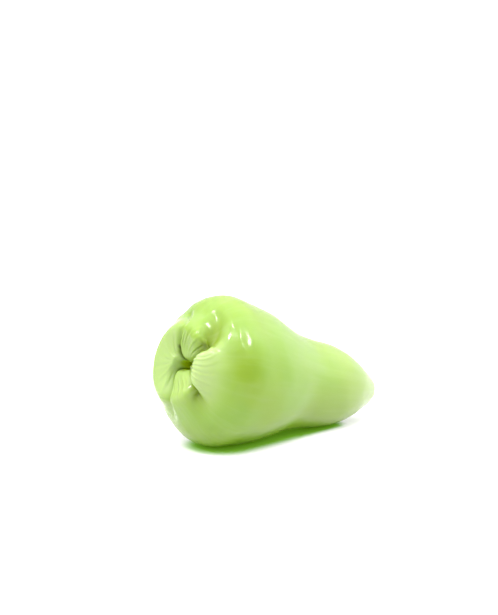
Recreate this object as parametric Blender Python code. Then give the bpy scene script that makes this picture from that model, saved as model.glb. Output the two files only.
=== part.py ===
"""A pale green rose apple lying on its side, its folded calyx end toward -X and its stalk end toward +X."""

import bpy
import numpy as np

MM = 0.001

# Body of the fruit, from the calyx centre to the stalk: (distance from the calyx end's rim, radius) in mm
PROFILE = [
    (3.7, 0.0), (3.2, 3.8), (1.7, 8.1), (0.0, 13.1), (4.6, 17.9), (9.6, 23.4), (16.5, 27.4), (24.3, 26.9),
    (32.7, 25.3), (44.3, 21.4), (57.0, 17.6), (68.6, 16.4), (79.2, 13.3), (87.3, 9.1), (92.3, 6.1),
    (94.7, 3.2), (94.4, 1.8), (94.2, 0.0),
]
SPLINE_STEPS = 4000
LENGTH = 95.7
BEND = 0.044
TILT = 13.6
PRESS = 0.5

# How far the calyx end leans back at its top, in mm a mm, and where along the skin the lean fades out
CALYX_LEAN = 0.045
LEAN_FADE = (14, 34)

# Where along the skin forms stop being sunk along the axis and are sunk square to the skin instead
SQUARE_FADE = (12, 20)

# Folds between the four lobes, in mm and degrees: distance from the calyx centre, angle, depth, and half
# width on the side of the smaller and of the larger angles
FOLDS = {
    "right_top": [
        (0, 30, 3.2, 4.0, 3.2), (8, 31, 3.4, 4.0, 4.0), (13, 31, 4.4, 3.6, 6.0),
        (16.5, 32, 5.4, 3.2, 9.0), (19, 38, 4.4, 4.2, 11.0), (21.5, 48, 3.1, 8.0, 10.0),
        (25, 60, 1.4, 11.0, 8.0), (30, 67, 0, 11.0, 8.0),
    ],
    "top_left": [
        (0, 136, 3.2, 2.2, 1.8), (5, 130, 2.8, 2.2, 1.6), (7.5, 117, 1.4, 2.2, 1.4),
        (10.5, 102, 0.9, 2.4, 1.6), (15, 96, 0.9, 2.8, 2.6), (20, 105, 1.2, 3.4, 4.0),
        (26, 121, 0.8, 5.0, 5.0), (36, 136, 0, 7.0, 7.0),
    ],
    "left_bottom": [
        (0, 205, 3.0, 2.4, 2.4), (4, 213, 3.2, 2.6, 2.4), (6.5, 242, 3.2, 3.4, 2.4),
        (10, 264, 3.0, 4.6, 2.5), (15, 269, 2.4, 5.5, 2.8), (21, 261, 1.3, 6.0, 3.8),
        (30, 250, 0, 7.0, 6.0),
    ],
    "bottom_right": [
        (0, 345, 3.0, 3.0, 3.0), (7, 337, 2.9, 3.4, 2.8), (13, 332, 3.6, 4.4, 2.6),
        (16.5, 328, 4.6, 5.4, 2.8), (19, 324, 2.6, 6.0, 3.4), (22, 320, 0.9, 6.5, 5.0),
        (27, 314, 0, 7.0, 7.0),
    ],
}
STEEP_FLANK = 3.0
GENTLE_FLANK = 6.0
SLIT_DEPTH = 3.0
SLIT_HALF_WIDTH = 0.4
SLIT_END = {"right_top": 17.5, "top_left": 7.0, "left_bottom": 12.0, "bottom_right": 17.0}
SLIT_CLOSING = 2.0
SOFTENING = 5.0

# Lobes, in the order of the folds before them, that bulge or lie back: distance of the middle from the calyx
# centre, reach toward the centre and away from it, height
LOBE_SWELLS = {
    "top": (9.0, 7.0, 7.0, -0.2),
    "left": (4.6, 1.8, 8.5, 1.4),
    "bottom": (5.5, 4.5, 4.5, 0.6),
    "right": (12.5, 7.0, 7.0, 0.6),
}
LOBE_EDGE = 0.35

# Hollow that the tips of the lobes leave: (angle, radius)
HOLLOW = [
    (10, 2.4), (36, 1.8), (80, 1.4), (128, 2.2), (165, 2.7), (205, 2.9), (243, 2.0), (285, 1.5), (330, 1.6),
]
HOLLOW_DEPTH = 6.0
HOLLOW_WALL = (-0.48, 0.32)
HOLLOW_REACH = 20
TIP_ROUNDING = 1.7
TIP_DROP = 2.5

# Low ribs along the body, and where along the skin they rise and fade
RIB_COUNT = 4
RIB_DEPTH = 0.7
RIB_RISE = (24, 40)
RIB_FADE = (85, 105)

# Mesh of the fruit: columns crowd toward the folds as far as the fade
COLUMNS_PER_LOBE = 24
CROWDING = 1.1
CROWDING_FADE = (16, 40)
FACE_RINGS = np.arange(1.0, 17.0, 0.85)
SHOULDER_RINGS = np.arange(17.0, 42.0, 1.7)
BODY_RINGS = 22
END_GAP = 1.2

# Broken end of the stalk: (height, radius)
STUB = [(0.0, 1.1), (1.4, 1.0), (2.1, 1.2), (2.3, 1.0)]
STUB_SIDES = 20
STUB_GAP = 0.3

SKIN_GREEN = (0.55, 0.79, 0.22)
SKIN_ROUGHNESS = 0.35
STALK_GREEN = (0.2, 0.32, 0.06)
STALK_ROUGHNESS = 0.6


def clear_scene():
    for obj in list(bpy.data.objects):
        bpy.data.objects.remove(obj, do_unlink=True)


def material(name, colour, roughness):
    made = bpy.data.materials.new(name)
    made.use_nodes = True
    surface = made.node_tree.nodes["Principled BSDF"]
    surface.inputs["Base Color"].default_value = (*colour, 1)
    surface.inputs["Roughness"].default_value = roughness
    return made


def ease(x):
    x = np.clip(x, 0, 1)
    return x * x * (3 - 2 * x)


def rise(x, span):
    """Goes smoothly from 0 to 1 as x goes from one end of the span to the other."""
    start, end = span
    return ease((x - start) / (end - start))


def rounded(x):
    """Goes from 0 to 1 as a quarter of a circle does."""
    return np.sqrt(np.clip(1 - (1 - np.clip(x, 0, 1)) ** 2, 0, 1))


def flowing(x, places, values):
    """A smooth line through the values at the places, level outside them."""
    places = np.asarray(places, float)
    values = np.asarray(values, float)
    slopes = np.gradient(values, places)
    slopes[0] = slopes[-1] = 0
    i = np.clip(np.searchsorted(places, x, side="right") - 1, 0, len(places) - 2)
    gap = places[i + 1] - places[i]
    t = np.clip((x - places[i]) / gap, 0, 1)
    straight = values[i] + (values[i + 1] - values[i]) * ease(t)
    return straight + gap * t * (1 - t) * ((1 - t) * slopes[i] - t * slopes[i + 1])


def spline(points, count):
    """A smooth curve through the points, square to the axis at both ends, with its lengths."""
    points = np.asarray(points, float)
    step = np.linalg.norm(np.diff(points, axis=0), axis=1)
    matrix = np.eye(len(points))
    slopes = np.zeros_like(points)
    slopes[0] = (0, 1)
    slopes[-1] = (0, -1)
    chord = np.diff(points, axis=0) / step[:, None]
    for i in range(1, len(points) - 1):
        matrix[i, i - 1:i + 2] = step[i], 2 * (step[i - 1] + step[i]), step[i - 1]
        slopes[i] = 3 * (step[i] * chord[i - 1] + step[i - 1] * chord[i])
    slopes = np.linalg.solve(matrix, slopes)
    knots = np.concatenate([[0], np.cumsum(step)])
    at = np.linspace(0, knots[-1], count)
    i = np.clip(np.searchsorted(knots, at, side="right") - 1, 0, len(step) - 1)
    x = ((at - knots[i]) / step[i])[:, None]
    run = step[i][:, None]
    curve = (
        (1 + 2 * x) * (1 - x) ** 2 * points[i] + x * (1 - x) ** 2 * run * slopes[i]
        + x ** 2 * (3 - 2 * x) * points[i + 1] + x ** 2 * (x - 1) * run * slopes[i + 1]
    )
    lengths = np.concatenate([[0], np.cumsum(np.linalg.norm(np.diff(curve, axis=0), axis=1))])
    return curve, lengths


def body_rings(s):
    """Distance along the axis, radius and inward direction of the rings at the distances s."""
    curve, lengths = spline(PROFILE, SPLINE_STEPS)
    slope = np.gradient(curve, lengths, axis=0)
    along = np.interp(s, lengths, curve[:, 0])
    radius = np.interp(s, lengths, curve[:, 1])
    square = rise(s, SQUARE_FADE)
    inward_along = np.interp(s, lengths, slope[:, 1]) * square + (1 - square)
    inward_radius = -np.interp(s, lengths, slope[:, 0]) * square
    size = np.hypot(inward_along, inward_radius)
    return along, radius, inward_along / size, inward_radius / size


def fold_values(rows, s):
    """Angle, depth and the two half widths of a fold at the distances s."""
    rows = np.asarray(rows, float)
    course, depth, before, after = (flowing(s, rows[:, 0], rows[:, column]) for column in (1, 2, 3, 4))
    return course, np.maximum(depth, 0), before, after


def column_angles(s):
    """Angle and place across its lobe of every column on every ring: the columns follow the folds."""
    courses = [fold_values(rows, s)[0] for rows in FOLDS.values()]
    courses.append(courses[0] + 360)
    power = 1 + CROWDING * (1 - rise(s, CROWDING_FADE))
    share = np.arange(COLUMNS_PER_LOBE) / COLUMNS_PER_LOBE
    crowded = 0.5 * (2 * np.minimum(share, 1 - share)) ** power[:, None]
    crowded = np.where(share < 0.5, crowded, 1 - crowded)
    lobes = [
        start[:, None] + (stop - start)[:, None] * crowded
        for start, stop in zip(courses, courses[1:])
    ]
    return np.concatenate(lobes, axis=1), np.tile(crowded, (1, len(FOLDS)))


def fold_depths(s, radius, angle):
    """How far the folds lower the lobes, and how deep their slits are."""
    valley = np.zeros_like(angle)
    slit = np.zeros_like(angle)
    for name, rows in FOLDS.items():
        course, drop, before, after = (value[:, None] for value in fold_values(rows, s))
        turn = (angle - course + 180) % 360 - 180
        away = radius[:, None] * np.radians(np.abs(turn))
        half_width = np.where(turn < 0, before, after)
        end = SLIT_END[name]
        past = rise(s[:, None], (end, end + SOFTENING))
        gentle = np.maximum(past, rise(half_width, (STEEP_FLANK, GENTLE_FLANK)))
        across = away / half_width
        lift = rounded(across) * (1 - gentle) + ease(across) * gentle
        valley = np.maximum(valley, drop * (1 - lift))
        closed = rise(s[:, None], (end - SLIT_CLOSING / 2, end + SLIT_CLOSING / 2))
        slit = np.maximum(slit, SLIT_DEPTH * (1 - closed) * (1 - ease(away / SLIT_HALF_WIDTH)))
    return valley, slit


def hollow_depth(s, radius, angle):
    """How far the tips of the lobes roll down to the hollow, and how deep the hollow is."""
    places = np.array([place for place, _ in HOLLOW])
    values = np.array([value for _, value in HOLLOW])
    edge = flowing(angle % 360, np.concatenate([places - 360, places, places + 360]), np.tile(values, 3))
    away = radius[:, None] - edge
    near = s[:, None] < HOLLOW_REACH
    tip = TIP_DROP * (1 - rounded(away / TIP_ROUNDING)) * near
    pit = HOLLOW_DEPTH * (1 - rise(away, HOLLOW_WALL)) * near
    return tip, pit


def lobe_swell(s, across):
    """How far each lobe bulges."""
    plateau = ease(across / LOBE_EDGE) * ease((1 - across) / LOBE_EDGE)
    heights = [
        height * (1 - ease((middle - s) / inner)) * (1 - ease((s - middle) / outer))
        for middle, inner, outer, height in LOBE_SWELLS.values()
    ]
    return plateau * np.repeat(np.stack(heights, axis=1), COLUMNS_PER_LOBE, axis=1)


def fruit_rings(s):
    """Points of the skin as (rings, columns, 3): x along the axis, y across it and z up, in mm."""
    along, radius, inward_along, inward_radius = body_rings(s)
    angle, across = column_angles(s)
    valley, slit = fold_depths(s, radius, angle)
    tip, pit = hollow_depth(s, radius, angle)
    inward = valley + tip + np.maximum(slit, pit) - lobe_swell(s, across)
    turn = np.radians(angle)
    ribs = rise(s, RIB_RISE) * (1 - rise(s, RIB_FADE))
    rib = 0.5 * RIB_DEPTH * ribs[:, None] * (np.cos(RIB_COUNT * turn) - 1)
    r = radius[:, None] + inward_radius[:, None] * inward + rib
    lean = CALYX_LEAN * (1 - rise(s, LEAN_FADE))
    x = along[:, None] + inward_along[:, None] * inward + lean[:, None] * r * np.sin(turn)
    sag = BEND * ((x / LENGTH - 0.5) ** 2 - 0.25) * LENGTH
    return np.stack([x, -r * np.cos(turn), r * np.sin(turn) + sag], axis=2)


def laid_down(points, low, middle):
    """Tilts points of the upright frame of the axis, and lays them on the surface at z = 0."""
    tilt = np.radians(TILT)
    x = points[..., 0] * np.cos(tilt) + points[..., 2] * np.sin(tilt)
    z = points[..., 2] * np.cos(tilt) - points[..., 0] * np.sin(tilt)
    return np.stack([x - middle, points[..., 1], z - low], axis=-1)


def closed_body(name, rings, look):
    """One closed body from rings of points, with a fan over each end."""
    count, sides, _ = rings.shape
    vertices = np.concatenate([rings.reshape(-1, 3), [rings[0].mean(axis=0), rings[-1].mean(axis=0)]])
    faces = []
    for ring in range(count - 1):
        for side in range(sides):
            a = ring * sides + side
            b = ring * sides + (side + 1) % sides
            faces.append((a, a + sides, b + sides, b))
    for side in range(sides):
        after = (side + 1) % sides
        faces.append((count * sides, side, after))
        faces.append((count * sides + 1, (count - 1) * sides + after, (count - 1) * sides + side))
    mesh = bpy.data.meshes.new(name)
    mesh.from_pydata((vertices * MM).tolist(), [], faces)
    mesh.materials.append(look)
    obj = bpy.data.objects.new(name, mesh)
    bpy.context.scene.collection.objects.link(obj)


def ring_distances():
    total = spline(PROFILE, SPLINE_STEPS)[1][-1]
    body = np.linspace(SHOULDER_RINGS[-1], total - END_GAP, BODY_RINGS)[1:]
    return np.concatenate([FACE_RINGS, SHOULDER_RINGS, body])


def stub_rings():
    """Rings of the broken stalk, standing in the dimple of the stalk end."""
    turn = np.linspace(0, 2 * np.pi, STUB_SIDES, endpoint=False)
    height = np.array([row[0] for row in STUB])[:, None]
    radius = np.array([row[1] for row in STUB])[:, None]
    x = PROFILE[-1][0] + STUB_GAP + height + 0 * turn
    return np.stack([x, -radius * np.cos(turn), radius * np.sin(turn)], axis=2)


def resting_place(fruit, stub):
    """How far to lower and shift the tilted pieces: the fruit sinks by PRESS and is centred on x = 0."""
    fruit = laid_down(fruit, 0, 0)
    stub = laid_down(stub, 0, 0)
    low = fruit[..., 2].min() + PRESS
    return low, (fruit[..., 0].min() + stub[..., 0].max()) / 2


def build():
    fruit = fruit_rings(ring_distances())
    stub = stub_rings()
    low, middle = resting_place(fruit, stub)
    fruit = laid_down(fruit, low, middle)
    fruit[..., 2] = np.maximum(fruit[..., 2], 0)
    closed_body("fruit", fruit, material("skin", SKIN_GREEN, SKIN_ROUGHNESS))
    stub = laid_down(stub, low, middle)
    closed_body("stalk_stub", stub, material("stalk", STALK_GREEN, STALK_ROUGHNESS))


clear_scene()
build()
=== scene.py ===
"""Looks of the pale green rose apple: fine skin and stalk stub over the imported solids, on a white floor."""

import math

import bpy
import numpy as np
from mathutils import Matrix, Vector, noise


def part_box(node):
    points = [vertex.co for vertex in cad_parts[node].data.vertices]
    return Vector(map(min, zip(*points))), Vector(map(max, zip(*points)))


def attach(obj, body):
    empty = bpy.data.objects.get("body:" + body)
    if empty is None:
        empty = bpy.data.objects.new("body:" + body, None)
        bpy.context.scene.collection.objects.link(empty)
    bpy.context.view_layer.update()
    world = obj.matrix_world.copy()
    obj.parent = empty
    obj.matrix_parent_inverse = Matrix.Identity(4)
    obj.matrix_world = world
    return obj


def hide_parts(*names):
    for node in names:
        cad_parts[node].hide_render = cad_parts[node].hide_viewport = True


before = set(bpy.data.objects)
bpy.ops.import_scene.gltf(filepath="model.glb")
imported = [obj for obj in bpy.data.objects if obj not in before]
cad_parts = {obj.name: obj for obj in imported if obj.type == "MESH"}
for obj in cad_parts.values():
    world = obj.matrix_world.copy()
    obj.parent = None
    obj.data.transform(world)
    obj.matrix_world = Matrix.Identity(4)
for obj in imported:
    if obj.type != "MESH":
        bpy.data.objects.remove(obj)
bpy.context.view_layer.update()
MM = 0.001
TINY = 1e-9

# Places on the skin: s is the distance from the calyx centre along the plain body in mm, and angles turn
# round the axis in degrees, from 0 at the near side over 90 at the top

# Body of the fruit, from the calyx centre to the stalk: (distance from the calyx end's rim, radius) in mm
PROFILE = [
    (3.7, 0.0), (3.2, 3.8), (1.7, 8.1), (0.0, 13.1), (4.6, 17.9), (9.6, 23.4), (16.5, 27.4), (24.3, 26.9),
    (32.7, 25.3), (44.3, 21.4), (57.0, 17.6), (68.6, 16.4), (79.2, 13.3), (87.3, 9.1), (92.3, 6.1),
    (94.7, 3.2), (94.4, 1.8), (94.2, 0.0),
]
SPLINE_STEPS = 4000
LENGTH = 95.7
BEND = 0.044
TILT = 13.6
PRESS = 0.5

# How far the calyx end leans back at its top, in mm a mm, and where along the skin the lean fades out
CALYX_LEAN = 0.045
LEAN_FADE = (14, 34)

# Where along the skin forms stop being sunk along the axis and are sunk square to the skin instead
SQUARE_FADE = (12, 20)

# Folds between the four lobes, in mm and degrees: distance from the calyx centre, angle, depth, and half
# width on the side of the smaller and of the larger angles
FOLDS = {
    "right_top": [
        (0, 30, 3.2, 4.0, 3.2), (8, 31, 3.4, 4.0, 4.0), (13, 31, 4.4, 3.6, 6.0),
        (16.5, 32, 5.4, 3.2, 9.0), (19, 38, 4.4, 4.2, 11.0), (21.5, 48, 3.1, 8.0, 10.0),
        (25, 60, 1.4, 11.0, 8.0), (30, 67, 0, 11.0, 8.0),
    ],
    "top_left": [
        (0, 136, 3.2, 2.2, 1.8), (5, 130, 2.8, 2.2, 1.6), (7.5, 117, 1.4, 2.2, 1.4),
        (10.5, 102, 0.9, 2.4, 1.6), (15, 96, 0.9, 2.8, 2.6), (20, 105, 1.2, 3.4, 4.0),
        (26, 121, 0.8, 5.0, 5.0), (36, 136, 0, 7.0, 7.0),
    ],
    "left_bottom": [
        (0, 205, 3.0, 2.4, 2.4), (4, 213, 3.2, 2.6, 2.4), (6.5, 242, 3.2, 3.4, 2.4),
        (10, 264, 3.0, 4.6, 2.5), (15, 269, 2.4, 5.5, 2.8), (21, 261, 1.3, 6.0, 3.8),
        (30, 250, 0, 7.0, 6.0),
    ],
    "bottom_right": [
        (0, 345, 3.0, 3.0, 3.0), (7, 337, 2.9, 3.4, 2.8), (13, 332, 3.6, 4.4, 2.6),
        (16.5, 328, 4.6, 5.4, 2.8), (19, 324, 2.6, 6.0, 3.4), (22, 320, 0.9, 6.5, 5.0),
        (27, 314, 0, 7.0, 7.0),
    ],
}
STEEP_FLANK = 3.0
GENTLE_FLANK = 6.0
SLIT_DEPTH = 3.0
SLIT_HALF_WIDTH = 0.4
SLIT_END = {"right_top": 17.5, "top_left": 7.0, "left_bottom": 12.0, "bottom_right": 17.0}
SLIT_CLOSING = 2.0
SOFTENING = 5.0

# Lobes, in the order of the folds before them, that bulge or lie back: distance of the middle from the calyx
# centre, reach toward the centre and away from it, height
LOBE_SWELLS = {
    "top": (9.0, 7.0, 7.0, -0.2),
    "left": (4.6, 1.8, 8.5, 1.4),
    "bottom": (5.5, 4.5, 4.5, 0.6),
    "right": (12.5, 7.0, 7.0, 0.6),
}
LOBE_EDGE = 0.35

# Hollow that the tips of the lobes leave: (angle, radius)
HOLLOW = [
    (10, 2.4), (36, 1.8), (80, 1.4), (128, 2.2), (165, 2.7), (205, 2.9), (243, 2.0), (285, 1.5), (330, 1.6),
]
HOLLOW_DEPTH = 6.0
HOLLOW_WALL = (-0.48, 0.32)
HOLLOW_REACH = 20
TIP_ROUNDING = 1.7
TIP_DROP = 2.5

# Low ribs along the body, and where along the skin they rise and fade
RIB_COUNT = 4
RIB_DEPTH = 0.7
RIB_RISE = (24, 40)
RIB_FADE = (85, 105)

# Mesh of the skin: bands of rings from one distance from the calyx centre to another, and how many each has;
# the columns crowd toward the folds as far as the fade
RING_BANDS = [(0.6, 17.0, 82), (17.0, 38.0, 60), (38.0, 110.0, 130), (110.0, 122.3, 34)]
COLUMNS_PER_LOBE = 80
CROWDING = 1.1
CROWDING_FADE = (16, 40)

# Broken end of the stalk: (height, radius) in mm, and the gap to the skin below it
STUB = [
    (0.0, 1.12), (0.3, 1.12), (0.7, 1.05), (1.4, 1.0), (1.8, 1.1), (2.1, 1.2), (2.25, 1.12), (2.3, 0.95),
    (2.1, 0.7), (1.95, 0.3),
]
STUB_SIDES = 96
STUB_GAP = 0.3

# Fibres of the stalk: number and height in mm, a second wave of them against the first one (height, number,
# phase), and the middle and swing of their paleness
STUB_FIBRES = (17, 0.035)
FIBRE_OVERTONE = (0.6, 1.7, 1.0)
FIBRE_PALENESS = (0.5, 0.4)

# Torn rim of the stalk: number, height in mm and phase of its splits, and the heights between which it starts
STUB_SPLITS = (5, 0.12, 0.7)
TORN_RISE = (1.6, 2.1)

# Pleats across each lobe: number, height in mm, where they start, are full and end in mm, and their phase
PLEATS = {
    "top": (8, 0.13, 4.0, 9.0, 18.0, 0.3),
    "left": (9, 0.07, 3.0, 8.0, 19.0, 1.1),
    "bottom": (5, 0.10, 3.0, 8.0, 18.0, 2.0),
    "right": (9, 0.15, 3.0, 12.0, 24.0, 0.6),
}

# How the pleats wander: share of the lobe, waves a mm, and phase against the pleats'
PLEAT_WANDER = (0.035, 0.5, 3)

# Second wave of the pleats against the first one: its height, number and phase
PLEAT_OVERTONE = (0.6, 1.73, 2.1)
PLEAT_EDGE = 0.12

# Swells of the top lobe and the shoulder: (distance from the calyx centre, angle, height, half length,
# half breadth)
SWELLS = [
    (13.2, 74, 0.30, 2.6, 1.3),
    (14.2, 62, 0.28, 2.4, 1.2),
    (12.2, 86, 0.22, 2.4, 1.1),
    (20.8, 26, 0.22, 3.4, 1.6),
    (27.2, 37, 0.30, 2.8, 6.0),
    (32.2, 33, 0.28, 2.6, 6.0),
    (25.0, 70, 0.25, 3.0, 3.6),
    (22.8, 84, 0.25, 3.0, 3.0),
    (23.2, 110, 0.30, 3.0, 3.0),
]

# Slow and fine unevenness of the skin in mm, and where along the skin the fine one is stronger
SLOW_GRAIN = 9.0
SLOW_HEIGHT = 0.22
FINE_GRAIN = 3.4
FINE_SHIFT = Vector((7, 3, 5))
FINE_HEIGHT = 0.03
FINE_SHOULDER_HEIGHT = 0.07
FINE_RISE = (12, 22)
FINE_FADE = (34, 48)

# Puckers round the stalk: (number, share of the height, phase), the height, and where they rise and fade,
# in mm before the end of the skin
PUCKERS = [(9, 1.0, 0.6), (14, 0.7, 2.0)]
PUCKER_HEIGHT = 0.06
PUCKER_RISE = (12, 5)
PUCKER_FADE = (4, 2)

# Depths below the plain body between which pleats, swells and unevenness end
SMOOTH_DEPTHS = (2.2, 4.2)

# Pale skin of each lobe, which on the right lobe is also painted sheen: share, and the distances from the
# calyx centre where it is full and where it ends
PALE_AND_SHEEN_LOBES = {
    "top": (0.15, 8.0, 22.0),
    "left": (0.62, 15.0, 26.0),
    "bottom": (0.45, 10.0, 22.0),
    "right": (0.95, 16.0, 29.0),
}
PALE_EDGE = 0.1

# Pale neck: its share, and where along the skin it rises
NECK_PALE = 0.4
NECK_RISE = (60, 105)

# Painted shade: a dark line in the bottom of each fold, as a share, and dark spots where lobes pinch:
# (distance from the calyx centre, angle, share, half length, half breadth)
CREASE_SHADES = {"right_top": 0.42, "top_left": 0.42, "left_bottom": 0.3, "bottom_right": 0.12}
CREASE_HALF_WIDTH = 0.8
PAINTED_SHADE_SPOTS = [(6.5, 118, 1.2, 1.8, 1.2), (14.6, 40, 0.5, 3.0, 2.6)]

# Olive tinge beside the right lobe, in the same order
OLIVE_PATCH = (30.5, 9, 0.68, 13.0, 16.0)

# Painted light in the slits and the hollow, a saturated colour, and painted olive shade in the folds: depths
# between which they rise, the share of olive shade, and the share of pale skin that the painted shade takes
# away
CLEFT_DEPTHS = (0.5, 2.6)
FOLD_DEPTHS = (0.8, 3.2)
FOLD_OLIVE_SHADE = 0.9
FOLD_PALE_LOSS = 0.8

# Painted shade, a deeper olive towards the underside: its share, and the heights between which it fades
UNDERSIDE_OLIVE_SHADE = 0.5
UNDERSIDE = (2, 16)

# Streaks along the body: their fineness around it, and their length in mm
STREAKS_AROUND = 6
STREAK_LENGTH = 30


def ease(x):
    x = np.clip(x, 0, 1)
    return x * x * (3 - 2 * x)


def rise(x, span):
    """Goes smoothly from 0 to 1 as x goes from one end of the span to the other."""
    start, end = span
    return ease((x - start) / (end - start))


def rounded(x):
    """Goes from 0 to 1 as a quarter of a circle does."""
    return np.sqrt(np.clip(1 - (1 - np.clip(x, 0, 1)) ** 2, 0, 1))


def turn_from(angle, place):
    """How far the angle lies past the place, the short way round."""
    return (angle - place + 180) % 360 - 180


def within(across, edge):
    """1 on a lobe, easing to 0 at both of its sides over that share of its breadth."""
    return ease(across / edge) * ease((1 - across) / edge)


def flowing(x, places, values):
    """A smooth line through the values at the places, level outside them."""
    places = np.asarray(places, float)
    values = np.asarray(values, float)
    slopes = np.gradient(values, places)
    slopes[0] = slopes[-1] = 0
    i = np.clip(np.searchsorted(places, x, side="right") - 1, 0, len(places) - 2)
    gap = places[i + 1] - places[i]
    t = np.clip((x - places[i]) / gap, 0, 1)
    straight = values[i] + (values[i + 1] - values[i]) * ease(t)
    return straight + gap * t * (1 - t) * ((1 - t) * slopes[i] - t * slopes[i + 1])


def spline(points, count):
    """A smooth curve through the points, square to the axis at both ends, with its lengths."""
    points = np.asarray(points, float)
    step = np.linalg.norm(np.diff(points, axis=0), axis=1)
    matrix = np.eye(len(points))
    slopes = np.zeros_like(points)
    slopes[0] = (0, 1)
    slopes[-1] = (0, -1)
    chord = np.diff(points, axis=0) / step[:, None]
    for i in range(1, len(points) - 1):
        matrix[i, i - 1:i + 2] = step[i], 2 * (step[i - 1] + step[i]), step[i - 1]
        slopes[i] = 3 * (step[i] * chord[i - 1] + step[i - 1] * chord[i])
    slopes = np.linalg.solve(matrix, slopes)
    knots = np.concatenate([[0], np.cumsum(step)])
    at = np.linspace(0, knots[-1], count)
    i = np.clip(np.searchsorted(knots, at, side="right") - 1, 0, len(step) - 1)
    x = ((at - knots[i]) / step[i])[:, None]
    run = step[i][:, None]
    curve = (
        (1 + 2 * x) * (1 - x) ** 2 * points[i] + x * (1 - x) ** 2 * run * slopes[i]
        + x ** 2 * (3 - 2 * x) * points[i + 1] + x ** 2 * (x - 1) * run * slopes[i + 1]
    )
    lengths = np.concatenate([[0], np.cumsum(np.linalg.norm(np.diff(curve, axis=0), axis=1))])
    return curve, lengths


def body_rings(s):
    """Distance along the axis, radius and inward direction of the rings at the distances s."""
    curve, lengths = spline(PROFILE, SPLINE_STEPS)
    slope = np.gradient(curve, lengths, axis=0)
    along = np.interp(s, lengths, curve[:, 0])
    radius = np.interp(s, lengths, curve[:, 1])
    square = rise(s, SQUARE_FADE)
    inward_along = np.interp(s, lengths, slope[:, 1]) * square + (1 - square)
    inward_radius = -np.interp(s, lengths, slope[:, 0]) * square
    size = np.hypot(inward_along, inward_radius)
    return along, radius, inward_along / size, inward_radius / size


def fold_values(rows, s):
    """Angle, depth and the two half widths of a fold at the distances s."""
    rows = np.asarray(rows, float)
    course, depth, before, after = (flowing(s, rows[:, 0], rows[:, column]) for column in (1, 2, 3, 4))
    return course, np.maximum(depth, 0), before, after


def column_angles(s):
    """Angle and place across its lobe of every column on every ring: the columns follow the folds."""
    courses = [fold_values(rows, s)[0] for rows in FOLDS.values()]
    courses.append(courses[0] + 360)
    power = 1 + CROWDING * (1 - rise(s, CROWDING_FADE))
    share = np.arange(COLUMNS_PER_LOBE) / COLUMNS_PER_LOBE
    crowded = 0.5 * (2 * np.minimum(share, 1 - share)) ** power[:, None]
    crowded = np.where(share < 0.5, crowded, 1 - crowded)
    lobes = [
        start[:, None] + (stop - start)[:, None] * crowded
        for start, stop in zip(courses, courses[1:])
    ]
    return np.concatenate(lobes, axis=1), np.tile(crowded, (1, len(FOLDS)))


def lobe_of_columns():
    """Number of the lobe that each column lies on."""
    return np.repeat(np.arange(len(FOLDS)), COLUMNS_PER_LOBE)


def fold_depths(s, radius, angle):
    """How far the folds lower the lobes, and how deep their slits are."""
    valley = np.zeros_like(angle)
    slit = np.zeros_like(angle)
    for name, rows in FOLDS.items():
        course, drop, before, after = (value[:, None] for value in fold_values(rows, s))
        turn = turn_from(angle, course)
        away = radius[:, None] * np.radians(np.abs(turn))
        half_width = np.where(turn < 0, before, after)
        end = SLIT_END[name]
        past = rise(s[:, None], (end, end + SOFTENING))
        gentle = np.maximum(past, rise(half_width, (STEEP_FLANK, GENTLE_FLANK)))
        across = away / half_width
        lift = rounded(across) * (1 - gentle) + ease(across) * gentle
        valley = np.maximum(valley, drop * (1 - lift))
        closed = rise(s[:, None], (end - SLIT_CLOSING / 2, end + SLIT_CLOSING / 2))
        slit = np.maximum(slit, SLIT_DEPTH * (1 - closed) * (1 - ease(away / SLIT_HALF_WIDTH)))
    return valley, slit


def hollow_depth(s, radius, angle):
    """How far the tips of the lobes roll down to the hollow, and how deep the hollow is."""
    places = np.array([place for place, _ in HOLLOW])
    values = np.array([value for _, value in HOLLOW])
    edge = flowing(angle % 360, np.concatenate([places - 360, places, places + 360]), np.tile(values, 3))
    away = radius[:, None] - edge
    near = s[:, None] < HOLLOW_REACH
    tip = TIP_DROP * (1 - rounded(away / TIP_ROUNDING)) * near
    pit = HOLLOW_DEPTH * (1 - rise(away, HOLLOW_WALL)) * near
    return tip, pit


def lobe_swell(s, across):
    """How far each lobe bulges."""
    heights = [
        height * (1 - ease((middle - s) / inner)) * (1 - ease((s - middle) / outer))
        for middle, inner, outer, height in LOBE_SWELLS.values()
    ]
    return within(across, LOBE_EDGE) * np.repeat(np.stack(heights, axis=1), COLUMNS_PER_LOBE, axis=1)


def skin_rings(s):
    """Points of the plain skin as (rings, columns, 3) in mm, with what finer forms and colour need."""
    along, radius, inward_along, inward_radius = body_rings(s)
    angle, across = column_angles(s)
    valley, slit = fold_depths(s, radius, angle)
    tip, pit = hollow_depth(s, radius, angle)
    inward = valley + tip + np.maximum(slit, pit) - lobe_swell(s, across)
    turn = np.radians(angle)
    ribs = rise(s, RIB_RISE) * (1 - rise(s, RIB_FADE))
    rib = 0.5 * RIB_DEPTH * ribs[:, None] * (np.cos(RIB_COUNT * turn) - 1)
    r = radius[:, None] + inward_radius[:, None] * inward + rib
    lean = CALYX_LEAN * (1 - rise(s, LEAN_FADE))
    x = along[:, None] + inward_along[:, None] * inward + lean[:, None] * r * np.sin(turn)
    sag = BEND * ((x / LENGTH - 0.5) ** 2 - 0.25) * LENGTH
    points = np.stack([x, -r * np.cos(turn), r * np.sin(turn) + sag], axis=2)
    return points, angle, across, radius, inward, valley


def laid_down(points):
    """Tilts points of the upright frame of the axis as the fruit lies."""
    tilt = np.radians(TILT)
    x = points[..., 0] * np.cos(tilt) + points[..., 2] * np.sin(tilt)
    z = points[..., 2] * np.cos(tilt) - points[..., 0] * np.sin(tilt)
    return np.stack([x, points[..., 1], z], axis=-1)


def ring_distances():
    bands = [np.linspace(start, stop, count, endpoint=False) for start, stop, count in RING_BANDS]
    return np.concatenate(bands)


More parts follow.
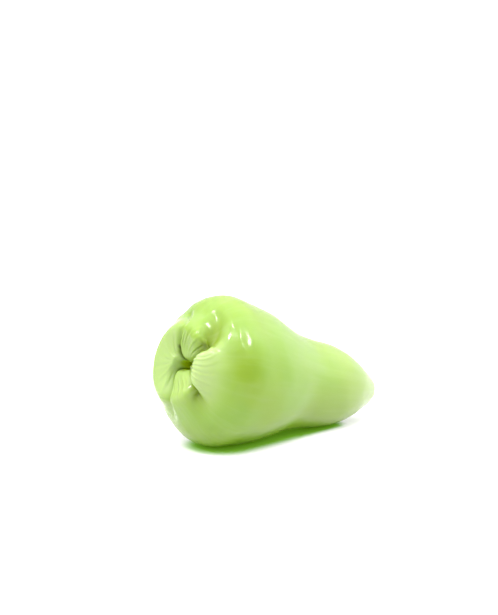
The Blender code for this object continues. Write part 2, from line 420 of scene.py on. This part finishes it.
def outward(points):
    """Unit directions square to the surface, pointing out of it."""
    down = np.gradient(points, axis=0)
    round_ = np.roll(points, -1, axis=1) - np.roll(points, 1, axis=1)
    normal = np.cross(round_, down)
    return normal / np.maximum(np.linalg.norm(normal, axis=2, keepdims=True), TINY)


def pleat_height(s, across):
    """Fine pleats that fan out over each lobe from its tip and fade on the shoulder."""
    height = np.zeros_like(across)
    columns = lobe_of_columns()
    wander_share, wander_waves, wander_phase = PLEAT_WANDER
    second_height, second_count, second_phase = PLEAT_OVERTONE
    edge = within(across, PLEAT_EDGE)
    for lobe, (count, high, start, full, end, phase) in enumerate(PLEATS.values()):
        fade = rise(s, (start, full)) * (1 - rise(s, (full, end)))
        wander = wander_share * np.sin(wander_waves * s + wander_phase * phase)
        place = 2 * np.pi * count * (across + wander[:, None] * across * (1 - across))
        wave = np.sin(place + phase) + second_height * np.sin(second_count * place + second_phase * phase)
        height += np.where(columns == lobe, high * fade[:, None] * wave * edge, 0)
    return height


def patch(s, radius, angle, at, place, high, half_length, half_breadth):
    """A soft oval rise of the height high at that place on the skin."""
    turn = turn_from(angle, place)
    along = (s[:, None] - at) / half_length
    around = radius[:, None] * np.radians(turn) / half_breadth
    return high * (1 - ease(np.hypot(along, around)))


def swell_height(s, radius, angle):
    return sum(patch(s, radius, angle, *swell) for swell in SWELLS)


def uneven_height(points, s):
    """Slow unevenness of the whole skin, and a fine one that is stronger on the shoulder."""
    places = [Vector(point) for point in points.reshape(-1, 3)]
    slow = np.array([noise.noise(place / SLOW_GRAIN) for place in places])
    fine = np.array([noise.noise(place / FINE_GRAIN + FINE_SHIFT) for place in places])
    shoulder = rise(s, FINE_RISE) * (1 - rise(s, FINE_FADE))
    fine_height = FINE_HEIGHT + FINE_SHOULDER_HEIGHT * shoulder[:, None]
    shape = points.shape[:2]
    return SLOW_HEIGHT * slow.reshape(shape) + fine_height * fine.reshape(shape)


def pucker_height(s, angle):
    """Puckers round the stalk."""
    start, full = (s[-1] - before for before in PUCKER_RISE)
    fading, gone = (s[-1] - before for before in PUCKER_FADE)
    near = rise(s, (start, full)) * (1 - rise(s, (fading, gone)))
    turn = np.radians(angle)
    waves = sum(share * np.sin(count * turn + phase) for count, share, phase in PUCKERS)
    return PUCKER_HEIGHT * near[:, None] * waves


def grid_faces(rings, sides):
    """Faces of a closed tube of rings, with a fan over each end."""
    faces = []
    for ring in range(rings - 1):
        for side in range(sides):
            a = ring * sides + side
            b = ring * sides + (side + 1) % sides
            faces.append((a, a + sides, b + sides, b))
    for side in range(sides):
        after = (side + 1) % sides
        faces.append((rings * sides, side, after))
        faces.append((rings * sides + 1, (rings - 1) * sides + after, (rings - 1) * sides + side))
    return faces


def body_from(name, rings, look):
    """One smooth closed body from rings of points in mm."""
    count, sides, _ = rings.shape
    vertices = np.concatenate([rings.reshape(-1, 3), [rings[0].mean(axis=0), rings[-1].mean(axis=0)]])
    mesh = bpy.data.meshes.new(name)
    mesh.from_pydata((vertices * MM).tolist(), [], grid_faces(count, sides))
    mesh.materials.append(look)
    mesh.shade_smooth()
    obj = bpy.data.objects.new(name, mesh)
    bpy.context.scene.collection.objects.link(obj)
    return obj


def store(obj, name, values):
    """Keeps a value of every ring point on the mesh for its material. End points take their ring's mean."""
    values = np.asarray(values, float)
    kind = "FLOAT_VECTOR" if values.ndim == 3 else "FLOAT"
    flat = values.reshape(-1, 3) if values.ndim == 3 else values.reshape(-1)
    ends = np.stack([values[0].mean(axis=0), values[-1].mean(axis=0)])
    attribute = obj.data.attributes.new(name, kind, "POINT")
    filled = np.concatenate([flat, ends]).astype(np.float32).ravel()
    attribute.data.foreach_set("vector" if kind == "FLOAT_VECTOR" else "value", filled)


def node(tree, kind, inputs=None, **settings):
    made = tree.nodes.new(kind)
    for name, value in settings.items():
        setattr(made, name, value)
    for name, value in (inputs or {}).items():
        if hasattr(value, "is_output"):
            tree.links.new(value, made.inputs[name])
        else:
            made.inputs[name].default_value = value
    return made


def new_material(name):
    made = bpy.data.materials.new(name)
    made.use_nodes = True
    return made, made.node_tree, made.node_tree.nodes["Principled BSDF"]


def attribute_of(tree, name):
    return node(tree, "ShaderNodeAttribute", attribute_name=name, attribute_type="GEOMETRY")


# Sockets of the Mix node for colours: its share, first and second colour, and the mixed colour
MIX_INPUTS = (0, 6, 7)
MIX_OUTPUT = 2


def mix_colours(tree, share, first, second):
    """First where share is 0, second where it is 1."""
    made = node(tree, "ShaderNodeMix", data_type="RGBA", clamp_factor=True)
    for slot, value in zip(MIX_INPUTS, (share, first, second)):
        if hasattr(value, "is_output"):
            tree.links.new(value, made.inputs[slot])
        else:
            made.inputs[slot].default_value = (*value, 1) if slot else value
    return made.outputs[MIX_OUTPUT]


def spread(tree, value, low, high, to_low=0.0, to_high=1.0):
    """Value between low and high, stretched to run from to_low to to_high."""
    made = node(
        tree, "ShaderNodeMapRange",
        {"Value": value, "From Min": low, "From Max": high, "To Min": to_low, "To Max": to_high},
        interpolation_type="SMOOTHSTEP",
    )
    return made.outputs["Result"]


def noise_of(tree, vector, scale, detail=2.0, roughness=0.5):
    made = node(
        tree, "ShaderNodeTexNoise",
        {"Vector": vector, "Scale": scale, "Detail": detail, "Roughness": roughness},
    )
    return made.outputs["Fac"]


def bumps(tree, height, distance, strength, under=None):
    """Direction of a surface with fine bumps, over coarser or finer ones that it already has."""
    made = node(tree, "ShaderNodeBump", {"Strength": strength, "Distance": distance, "Height": height})
    if under is not None:
        tree.links.new(under, made.inputs["Normal"])
    return made.outputs["Normal"]


# Skin: its colours, and where and how far the yellow tinge and the pale streaks show in their noises
SKIN = (0.188, 0.312, 0.036)
SKIN_YELLOW = (0.195, 0.300, 0.022)
# Pale skin of the lobes and streaks, made light enough for the painted sheen on the right lobe
SKIN_PALE_AND_SHEEN = (0.300, 0.395, 0.145)
# Painted light: a saturated colour that stands in for light in the slits and the hollow
PAINTED_CLEFT_LIGHT = (0.330, 0.450, 0.002)
# Olive of the tinge beside the right lobe and of the painted shade in the folds and on the underside
SKIN_OLIVE_AND_SHADE = (0.163, 0.243, 0.006)
# Painted shade in the bottoms of the folds and in the dark spots
PAINTED_CREASE_SHADE = (0.030, 0.032, 0.006)
TINGE_SCALE = 34.0
TINGE_RANGE = (0.38, 0.66)
STREAK_NOISE = {"scale": 1.0, "detail": 3.0, "roughness": 0.6}
STREAK_RANGE = (0.42, 0.72)
STREAK_SHARE = 0.14

# How the skin takes light: scattering in it, with its depth in metres, and gloss, which deep skin has less of
SCATTER = 0.8
SCATTER_COLOURS = (0.8, 1.0, 0.25)
SCATTER_DEPTH = 0.002
SKIN_IOR = 1.38
CLEFT_RANGE = (0.1, 0.8)
SKIN_SPECULAR = 0.5
CLEFT_SPECULAR = 0.08
SKIN_COAT = 0.15
COAT_ROUGHNESS = 0.1
SKIN_ROUGHNESS = (0.17, 0.27)
ROUGHNESS_RANGE = (0.3, 0.7)

# Fine grain of the skin: scale of its noise, height in metres and strength
PEEL = (420.0, 0.00006, 0.25)
PORES = (1500.0, 0.00002, 0.3)
PORE_DETAIL = 1.0


def skin_colour(tree, place, grain, cleft, pale_and_sheen, olive_and_shade, crease_shade):
    tinge = spread(tree, noise_of(tree, place, TINGE_SCALE), *TINGE_RANGE)
    colour = mix_colours(tree, tinge, SKIN, SKIN_YELLOW)
    # Olive tinge, and painted olive shade in the folds and on the underside
    colour = mix_colours(tree, olive_and_shade, colour, SKIN_OLIVE_AND_SHADE)
    streaks = spread(tree, noise_of(tree, grain, **STREAK_NOISE), *STREAK_RANGE, to_high=STREAK_SHARE)
    colour = mix_colours(tree, streaks, colour, SKIN_PALE_AND_SHEEN)
    # Pale lobes, with painted sheen on the right lobe
    colour = mix_colours(tree, pale_and_sheen, colour, SKIN_PALE_AND_SHEEN)
    # Painted light in the slits and the hollow
    colour = mix_colours(tree, cleft, colour, PAINTED_CLEFT_LIGHT)
    # Painted shade in the creases
    return mix_colours(tree, crease_shade, colour, PAINTED_CREASE_SHADE)


def skin_material():
    made, tree, surface = new_material("skin_fine")
    place = node(tree, "ShaderNodeTexCoord").outputs["Object"]
    grain = attribute_of(tree, "grain").outputs["Vector"]
    cleft = attribute_of(tree, "cleft").outputs["Fac"]
    pale_and_sheen = attribute_of(tree, "pale_and_sheen").outputs["Fac"]
    olive_and_shade = attribute_of(tree, "olive_and_shade").outputs["Fac"]
    crease_shade = attribute_of(tree, "crease_shade").outputs["Fac"]
    colour = skin_colour(tree, place, grain, cleft, pale_and_sheen, olive_and_shade, crease_shade)
    tree.links.new(colour, surface.inputs["Base Color"])
    surface.inputs["Subsurface Weight"].default_value = SCATTER
    surface.inputs["Subsurface Radius"].default_value = SCATTER_COLOURS
    surface.inputs["Subsurface Scale"].default_value = SCATTER_DEPTH
    surface.inputs["IOR"].default_value = SKIN_IOR
    specular = spread(tree, cleft, *CLEFT_RANGE, SKIN_SPECULAR, CLEFT_SPECULAR)
    tree.links.new(specular, surface.inputs["Specular IOR Level"])
    tree.links.new(spread(tree, cleft, *CLEFT_RANGE, SKIN_COAT, 0.0), surface.inputs["Coat Weight"])
    surface.inputs["Coat Roughness"].default_value = COAT_ROUGHNESS
    peel = noise_of(tree, place, PEEL[0])
    tree.links.new(spread(tree, peel, *ROUGHNESS_RANGE, *SKIN_ROUGHNESS), surface.inputs["Roughness"])
    pores = bumps(tree, noise_of(tree, place, PORES[0], PORE_DETAIL), *PORES[1:])
    bump = bumps(tree, peel, *PEEL[1:], under=pores)
    tree.links.new(bump, surface.inputs["Normal"])
    return made


def crease_shade_share(s, radius, angle):
    """Share of painted shade in the bottoms of the folds, as far as they are pinched, and in the painted dark
    spots.
    """
    share = sum(patch(s, radius, angle, *spot) for spot in PAINTED_SHADE_SPOTS)
    for name, rows in FOLDS.items():
        turn = turn_from(angle, fold_values(rows, s)[0][:, None])
        away = radius[:, None] * np.radians(np.abs(turn))
        open_ = rise(s, (SLIT_END[name] - SLIT_CLOSING, SLIT_END[name] + SLIT_CLOSING))[:, None]
        share = np.maximum(share, CREASE_SHADES[name] * (1 - ease(away / CREASE_HALF_WIDTH)) * (1 - open_))
    return share


def paleness(s, across):
    """Share of pale skin: most on the lobes, with painted sheen on the right lobe, less on the neck."""
    columns = lobe_of_columns()
    pale_and_sheen = NECK_PALE * rise(s, NECK_RISE)[:, None] * np.ones_like(across)
    inside = within(across, PALE_EDGE)
    for lobe, (share, full, end) in enumerate(PALE_AND_SHEEN_LOBES.values()):
        fade = 1 - rise(s, (full, end))
        pale_and_sheen += np.where(columns == lobe, share * fade[:, None], 0) * inside
    return pale_and_sheen


def grain_places(s, angle):
    """Where each point of the skin lies in the noise of the streaks, which is drawn out along the body."""
    turn = np.radians(angle)
    along = np.broadcast_to(s[:, None] / STREAK_LENGTH, turn.shape)
    return np.stack([np.cos(turn) * STREAKS_AROUND, np.sin(turn) * STREAKS_AROUND, along], axis=2)


def set_down(points):
    """Centres the skin along the solid's box and lets it rest on the floor, pressed flat there."""
    low, high = (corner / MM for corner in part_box("fruit"))
    shift = (low.x + high.x) / 2 - (points[..., 0].min() + points[..., 0].max()) / 2
    lift = -points[..., 2].min() - PRESS
    points = points + (shift, 0, lift)
    points[..., 2] = np.maximum(points[..., 2], 0)
    return points


def fruit_skin():
    s = ring_distances()
    points, angle, across, radius, inward, valley = skin_rings(s)
    height = pleat_height(s, across) + swell_height(s, radius, angle) + pucker_height(s, angle)
    height = (height + uneven_height(points, s)) * (1 - rise(inward, SMOOTH_DEPTHS))
    points = set_down(laid_down(points + outward(points) * height[:, :, None]))
    skin = body_from("fruit_skin", points, skin_material())
    # Shares of painted light in the slits and the hollow, and of painted olive shade in the folds
    cleft = rise(inward - valley, CLEFT_DEPTHS)
    folded = rise(valley, FOLD_DEPTHS)
    olive_and_shade = patch(s, radius, angle, *OLIVE_PATCH) + FOLD_OLIVE_SHADE * folded
    store(skin, "grain", grain_places(s, angle))
    store(skin, "cleft", cleft)
    # Pale skin, with painted sheen on the right lobe
    store(skin, "pale_and_sheen", paleness(s, across) * (1 - cleft) * (1 - FOLD_PALE_LOSS * folded))
    # Painted shade in the bottoms of the folds
    store(skin, "crease_shade", crease_shade_share(s, radius, angle))
    # Olive share, with painted shade darker towards the underside
    store(skin, "olive_and_shade", olive_and_shade + UNDERSIDE_OLIVE_SHADE * (1 - rise(points[..., 2], UNDERSIDE)))
    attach(skin, "root")
    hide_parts("fruit")


# Stalk: its colours, its blotches, its grain (scale, height in metres, strength), and how it takes light
STALK = (0.13, 0.20, 0.035)
STALK_PALE = (0.36, 0.40, 0.14)
STALK_BROWN = (0.12, 0.075, 0.03)
BLOTCH_SCALE = 900.0
BLOTCH_DETAIL = 3.0
BLOTCH_RANGE = (0.35, 0.7)
STALK_GRAIN = (2600.0, 0.00008, 0.5)
STALK_ROUGHNESS = 0.6
STALK_SPECULAR = 0.3


def stalk_material():
    """Green fibrous stalk, dried brown at its torn end."""
    made, tree, surface = new_material("stalk_fine")
    place = node(tree, "ShaderNodeTexCoord").outputs["Object"]
    torn = attribute_of(tree, "torn").outputs["Fac"]
    fibres = attribute_of(tree, "fibres").outputs["Fac"]
    blotches = spread(tree, noise_of(tree, place, BLOTCH_SCALE, BLOTCH_DETAIL), *BLOTCH_RANGE)
    colour = mix_colours(tree, fibres, STALK, STALK_PALE)
    colour = mix_colours(tree, blotches, colour, STALK)
    tree.links.new(mix_colours(tree, torn, colour, STALK_BROWN), surface.inputs["Base Color"])
    surface.inputs["Roughness"].default_value = STALK_ROUGHNESS
    surface.inputs["Specular IOR Level"].default_value = STALK_SPECULAR
    bump = bumps(tree, noise_of(tree, place, STALK_GRAIN[0]), *STALK_GRAIN[1:])
    tree.links.new(bump, surface.inputs["Normal"])
    return made


def stalk_stub():
    """The short broken end of the stalk, standing in the dimple of the stalk end."""
    turn = np.linspace(0, 2 * np.pi, STUB_SIDES, endpoint=False)
    height = np.array([row[0] for row in STUB])[:, None]
    radius = np.array([row[1] for row in STUB])[:, None]
    fibre_count, fibre_height = STUB_FIBRES
    second_height, second_count, second_phase = FIBRE_OVERTONE
    split_count, split_height, split_phase = STUB_SPLITS
    fibres = np.sin(fibre_count * turn)
    fibres = fibres + second_height * np.sin(second_count * fibre_count * turn + second_phase)
    torn = rise(height, TORN_RISE) * np.ones_like(turn)
    r = radius + fibre_height * fibres * np.minimum(radius, 1)
    splits = split_height * torn * np.sin(split_count * turn + split_phase)
    x = PROFILE[-1][0] + STUB_GAP + height + splits
    points = laid_down(np.stack([x, -r * np.cos(turn), r * np.sin(turn)], axis=2))
    low, high = (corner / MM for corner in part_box("stalk_stub"))
    middle = np.array([(low[i] + high[i]) / 2 for i in range(3)])
    points += middle - (points.reshape(-1, 3).min(axis=0) + points.reshape(-1, 3).max(axis=0)) / 2
    stub = body_from("stalk_end", points, stalk_material())
    store(stub, "torn", torn)
    middle_share, swing = FIBRE_PALENESS
    store(stub, "fibres", np.clip(middle_share + swing * fibres, 0, 1) * np.ones_like(r))
    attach(stub, "root")
    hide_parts("stalk_stub")


# Painted green shadow on the floor under the fruit, in metres: its two ends with the half width there, and
# where its edge fades, as shares of the half width
FOOTPRINT_BROAD = (Vector((-0.0255, -0.001)), 0.0136)
FOOTPRINT_NARROW = (Vector((0.024, -0.0004)), 0.0068)
FOOTPRINT_EDGE = (0.75, 1.2)

# Floor in metres: rings close together near the fruit, then a few wide ones, just under the fruit
FLOOR_RING_STEP = 0.0025
FLOOR_NEAR_RINGS = 32
FLOOR_WIDE_RINGS = [0.12, 0.3, 1.0, 8.0]
FLOOR_RINGS = [FLOOR_RING_STEP * ring for ring in range(1, FLOOR_NEAR_RINGS + 1)] + FLOOR_WIDE_RINGS
FLOOR_SIDES = 96
FLOOR_HEIGHT = -0.0001

# Colour and glow of the floor away from the fruit and under it, where they paint its shadow green
FLOOR_WHITE = (0.5, 0.5, 0.5)
PAINTED_SHADOW_GREEN = (0.27, 0.58, 0.07)
FLOOR_GLOW = (0.5, 0.5, 0.5)
PAINTED_SHADOW_GLOW = (0.045, 0.105, 0.001)


def painted_shadow_share(point):
    """Share of the painted shadow: 1 under the fruit, 0 away from it."""
    (broad, broad_width), (narrow, narrow_width) = FOOTPRINT_BROAD, FOOTPRINT_NARROW
    axis = narrow - broad
    along = min(max((point - broad).dot(axis) / axis.length_squared, 0), 1)
    half_width = broad_width + (narrow_width - broad_width) * along
    away = (point - broad - axis * along).length / half_width
    return 1 - float(rise(away, FOOTPRINT_EDGE))


def floor_material():
    """A white floor that glows softly, with a painted green shadow under the fruit, where it glows only
    faintly green.
    """
    made, tree, surface = new_material("white_floor")
    share = attribute_of(tree, "painted_shadow").outputs["Fac"]
    # Painted green shadow under the fruit
    tree.links.new(mix_colours(tree, share, FLOOR_WHITE, PAINTED_SHADOW_GREEN), surface.inputs["Base Color"])
    surface.inputs["Roughness"].default_value = 1.0
    surface.inputs["Specular IOR Level"].default_value = 0.0
    # The glow drops to a faint green in the painted shadow
    tree.links.new(mix_colours(tree, share, FLOOR_GLOW, PAINTED_SHADOW_GLOW), surface.inputs["Emission Color"])
    surface.inputs["Emission Strength"].default_value = 1.0
    return made


def floor():
    points = [Vector((0, 0))]
    for radius in FLOOR_RINGS:
        for side in range(FLOOR_SIDES):
            turn = 2 * math.pi * side / FLOOR_SIDES
            points.append(Vector((radius * math.cos(turn), radius * math.sin(turn))))
    faces = []
    for side in range(FLOOR_SIDES):
        after = (side + 1) % FLOOR_SIDES
        faces.append((0, 1 + side, 1 + after))
        for ring in range(len(FLOOR_RINGS) - 1):
            inner = 1 + ring * FLOOR_SIDES
            outer = inner + FLOOR_SIDES
            faces.append((inner + side, outer + side, outer + after, inner + after))
    mesh = bpy.data.meshes.new("floor")
    mesh.from_pydata([(point.x, point.y, FLOOR_HEIGHT) for point in points], [], faces)
    mesh.attributes.new("painted_shadow", "FLOAT", "POINT").data.foreach_set(
        "value", [painted_shadow_share(point) for point in points]
    )
    mesh.materials.append(floor_material())
    made = bpy.data.objects.new("floor", mesh)
    bpy.context.scene.collection.objects.link(made)


def from_angles(azimuth, elevation):
    """Direction toward a light: azimuth from the near side, elevation from the floor, in degrees."""
    around, above = math.radians(azimuth), math.radians(elevation)
    return math.sin(around) * math.cos(above), -math.cos(around) * math.cos(above), math.sin(above)


def area_light(name, azimuth, elevation, size, power):
    """A rectangular light that looks at the fruit's middle from that side."""
    light = bpy.data.lights.new(name, "AREA")
    light.shape = "RECTANGLE"
    light.size, light.size_y = size
    light.energy = power
    lamp = bpy.data.objects.new(name, light)
    bpy.context.scene.collection.objects.link(lamp)
    towards = Vector(from_angles(azimuth, elevation))
    lamp.location = TARGET + towards * LAMP_DISTANCE
    lamp.rotation_euler = towards.to_track_quat("Z", "Y").to_euler()


# Soft light of the studio: the whole room, then (azimuth, elevation, radiance, half breadth in degrees)
ROOM_LIGHT = 0.72
GLOWS = [
    (0, 90, 2.4, 70),
    (142, 5, 0.5, 50),
    (-100, 15, 1.3, 60),
    (70, 20, 1.3, 55),
]

# Bright lamps that glint on the skin: (azimuth, elevation, breadth and height in metres, power)
LAMP_DISTANCE = 1.1
LAMPS = [
    (-98, 62, (0.24, 0.10), 4.5),
    (-14, 63, (0.08, 0.26), 5.2),
]


def studio():
    world = bpy.data.worlds.new("studio")
    world.use_nodes = True
    tree = world.node_tree
    direction = node(tree, "ShaderNodeTexCoord").outputs["Generated"]
    light = ROOM_LIGHT
    for azimuth, elevation, radiance, reach in GLOWS:
        towards = node(
            tree, "ShaderNodeVectorMath", {0: direction, 1: from_angles(azimuth, elevation)},
            operation="DOT_PRODUCT",
        )
        glow = spread(tree, towards.outputs["Value"], math.cos(math.radians(reach)), 1.0, 0.0, radiance)
        light = node(tree, "ShaderNodeMath", {0: glow, 1: light}, operation="ADD").outputs[0]
    tree.nodes["Background"].inputs["Color"].default_value = (1, 1, 1, 1)
    tree.links.new(light, tree.nodes["Background"].inputs["Strength"])
    bpy.context.scene.world = world
    for number, lamp in enumerate(LAMPS):
        area_light(f"lamp_{number}", *lamp)
    bpy.context.scene.view_settings.view_transform = "Standard"


# Camera: angles round the fruit and above it, distance, the point it turns about and how far beside it the
# camera aims in metres, lens and sensor in mm
AZIMUTH = math.radians(-38.292)
ELEVATION = math.radians(12.002)
CAMERA_DISTANCE = 0.5445
TARGET = Vector((-0.00058, 0, 0.023593))
AIM_LEFT = 0.00977
AIM_UP = 0.02427
LENS = 85
SENSOR = 36
CLIP_START = 0.01


def camera():
    """The photograph's viewpoint."""
    back = Vector((
        math.sin(AZIMUTH) * math.cos(ELEVATION),
        -math.cos(AZIMUTH) * math.cos(ELEVATION),
        math.sin(ELEVATION),
    ))
    right = Vector((math.cos(AZIMUTH), math.sin(AZIMUTH), 0))
    up = back.cross(right)
    eye = TARGET + back * CAMERA_DISTANCE
    aim = TARGET - right * AIM_LEFT + up * AIM_UP
    data = bpy.data.cameras.new("camera")
    data.lens = LENS
    data.sensor_width = SENSOR
    data.clip_start = CLIP_START
    made = bpy.data.objects.new("camera", data)
    bpy.context.scene.collection.objects.link(made)
    made.location = eye
    made.rotation_euler = (aim - eye).to_track_quat("-Z", "Y").to_euler()
    bpy.context.scene.camera = made


fruit_skin()
stalk_stub()
floor()
studio()
camera()
